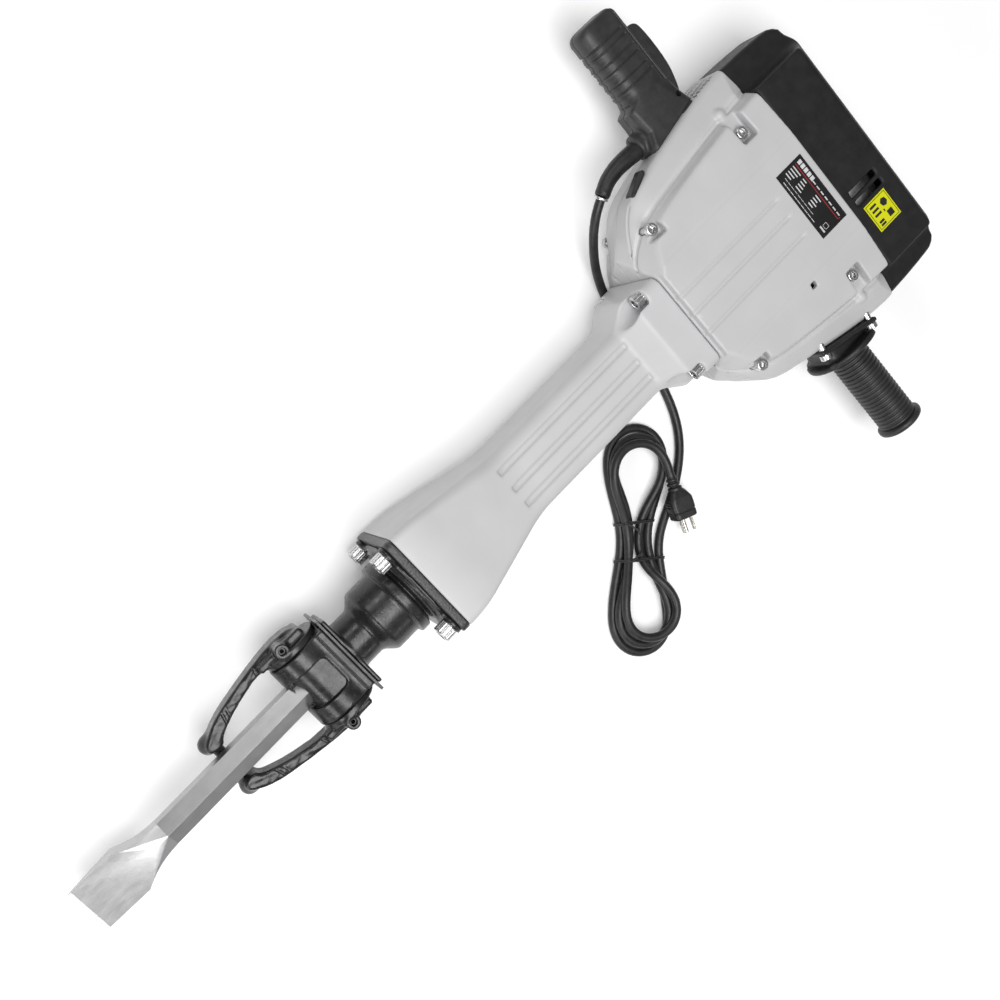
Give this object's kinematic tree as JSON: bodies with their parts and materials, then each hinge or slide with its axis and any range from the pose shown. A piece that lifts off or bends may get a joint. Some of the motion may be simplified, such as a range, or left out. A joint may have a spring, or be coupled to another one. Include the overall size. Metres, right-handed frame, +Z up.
{
  "type": "electric jackhammer",
  "caption": "Electric breaker hammer with flat chisel, swing-down tool retainer, two side handles, trigger, motor cap and a tied mains cord, lying on its back.",
  "frame": {"origin": "on the ground under the middle of the machine, which lies on its back cover", "axes": "+X from the chisel tip to the motor cap along the hammer axis, +Y towards the trigger handle, +Z up through the front cover"},
  "size_m": [1.117, 0.5605, 0.1386],
  "materials": {
    "body_paint": "light silver-grey satin paint over die-cast aluminium",
    "cap_plastic": "black moulded plastic with a fine grain",
    "black_plastic": "black moulded fittings, satin",
    "grip_rubber": "dark grey moulded rubber",
    "black_oxide": "black oiled casting, satin, worn bright on edges",
    "zinc": "bright zinc-plated screws",
    "pin_steel": "plain steel",
    "chisel_steel": "ground and shot-blasted tool steel",
    "machine_steel": "turned and ground steel, oiled",
    "cast_aluminium": "plain die-cast aluminium",
    "copper": "varnished copper windings and copper bars on steel",
    "inner_plastic": "black glass-filled nylon",
    "seal_rubber": "nitrile rubber",
    "cord_rubber": "black rubber sheath, satin",
    "prong_brass": "bare brass, worn",
    "tie_wire": "plastic-coated wire tie",
    "plate_film": "black printed film, blank rules only",
    "label_film": "yellow printed film"
  },
  "bodies": {
    "frame": {"front_cover": "body_paint", "back_cover": "body_paint", "neck_housing": "body_paint", "motor_cap": "cap_plastic", "aux_base": "black_plastic", "flange_plate": "black_plastic", "aux_grip": "grip_rubber", "handle_front_half": "grip_rubber", "handle_back_half": "grip_rubber", "nose_barrel": "black_oxide", "retainer_body": "black_oxide", "retainer_plate": "black_oxide", "cover_bolts": "zinc", "neck_bolts": "zinc", "nose_bolts": "zinc", "aux_base_bolts": "zinc", "handle_screws": "pin_steel", "cap_screws": "pin_steel", "trigger_pin": "pin_steel", "aux_tube": "pin_steel", "nose_bushing": "machine_steel", "anvil_guide": "machine_steel", "cylinder_sleeve": "machine_steel", "shaft_bearings": "machine_steel", "stator": "machine_steel", "inner_gear_plate": "cast_aluminium", "outer_gear_plate": "cast_aluminium", "motor_bracket": "cast_aluminium", "brush_holders": "inner_plastic", "trigger_switch": "inner_plastic", "carbon_brushes": "inner_plastic", "damping_ring": "seal_rubber", "cable_guard": "cord_rubber", "cord_lead": "cord_rubber", "cord_hank": "cord_rubber", "cord_tail": "cord_rubber", "plug_body": "cord_rubber", "plug_prongs": "prong_brass", "cord_ties": "tie_wire", "nameplate": "plate_film", "noise_label": "label_film"},
    "chisel": {"flat_chisel": "chisel_steel"},
    "anvil": {"anvil": "machine_steel"},
    "ram": {"ram": "machine_steel", "ram_seals": "seal_rubber"},
    "piston": {"piston": "cast_aluminium", "piston_seals": "seal_rubber", "wrist_pin": "machine_steel"},
    "con_rod": {"connecting_rod": "machine_steel", "crank_pin": "machine_steel"},
    "crank": {"crankshaft": "machine_steel", "crank_gear": "machine_steel"},
    "cluster": {"cluster_gear": "machine_steel"},
    "rotor": {"armature": "copper", "cooling_fan": "inner_plastic"},
    "bail": {"bail_arm_left": "black_oxide", "bail_arm_right": "black_oxide", "bail_crossbar": "black_oxide", "bail_roll_pins": "pin_steel"},
    "trigger": {"trigger_lever": "grip_rubber"}
  },
  "joints": [
    {"name": "chisel_slide", "type": "slide", "parent": "frame", "child": "chisel", "axis": [1, 0, 0], "range_m": [-0.025, 0]},
    {"name": "anvil_slide", "type": "slide", "parent": "frame", "child": "anvil", "axis": [1, 0, 0], "range_m": [-0.025, 0]},
    {"name": "ram_slide", "type": "slide", "parent": "frame", "child": "ram", "axis": [1, 0, 0], "range_m": [-0.025, 0.03]},
    {"name": "piston_slide", "type": "slide", "parent": "frame", "child": "piston", "axis": [1, 0, 0], "range_m": [0, 0.05]},
    {"name": "rod_swing", "type": "hinge", "parent": "piston", "child": "con_rod", "pos_m": [0.2235, 0, 0.07], "axis": [0, 1, 0], "range_deg": [-13.4, 13.4]},
    {"name": "motor_spin", "type": "hinge", "parent": "frame", "child": "rotor", "pos_m": [0.4935, 0, 0.07], "axis": [0, 1, 0], "continuous": true},
    {"name": "cluster_spin", "type": "hinge", "parent": "frame", "child": "cluster", "pos_m": [0.4265, 0, 0.07], "axis": [0, 1, 0], "continuous": true},
    {"name": "crank_spin", "type": "hinge", "parent": "frame", "child": "crank", "pos_m": [0.3565, 0, 0.07], "axis": [0, 1, 0], "continuous": true},
    {"name": "bail_swing", "type": "hinge", "parent": "frame", "child": "bail", "pos_m": [-0.2535, 0, 0.07], "axis": [0, -1, 0], "range_deg": [0, 90]},
    {"name": "trigger_press", "type": "hinge", "parent": "frame", "child": "trigger", "pos_m": [0.4215, 0.166, 0.07], "axis": [0, 0, 1], "range_deg": [0, 7], "stiffness_Nm_per_rad": 8, "springref_deg": -5.73}
  ],
  "couplings": [
    {"joint": "anvil_slide", "follows": "chisel_slide", "ratio": 1},
    {"joint": "cluster_spin", "follows": "motor_spin", "ratio": -0.26415},
    {"joint": "crank_spin", "follows": "motor_spin", "ratio": 0.08805}
  ]
}
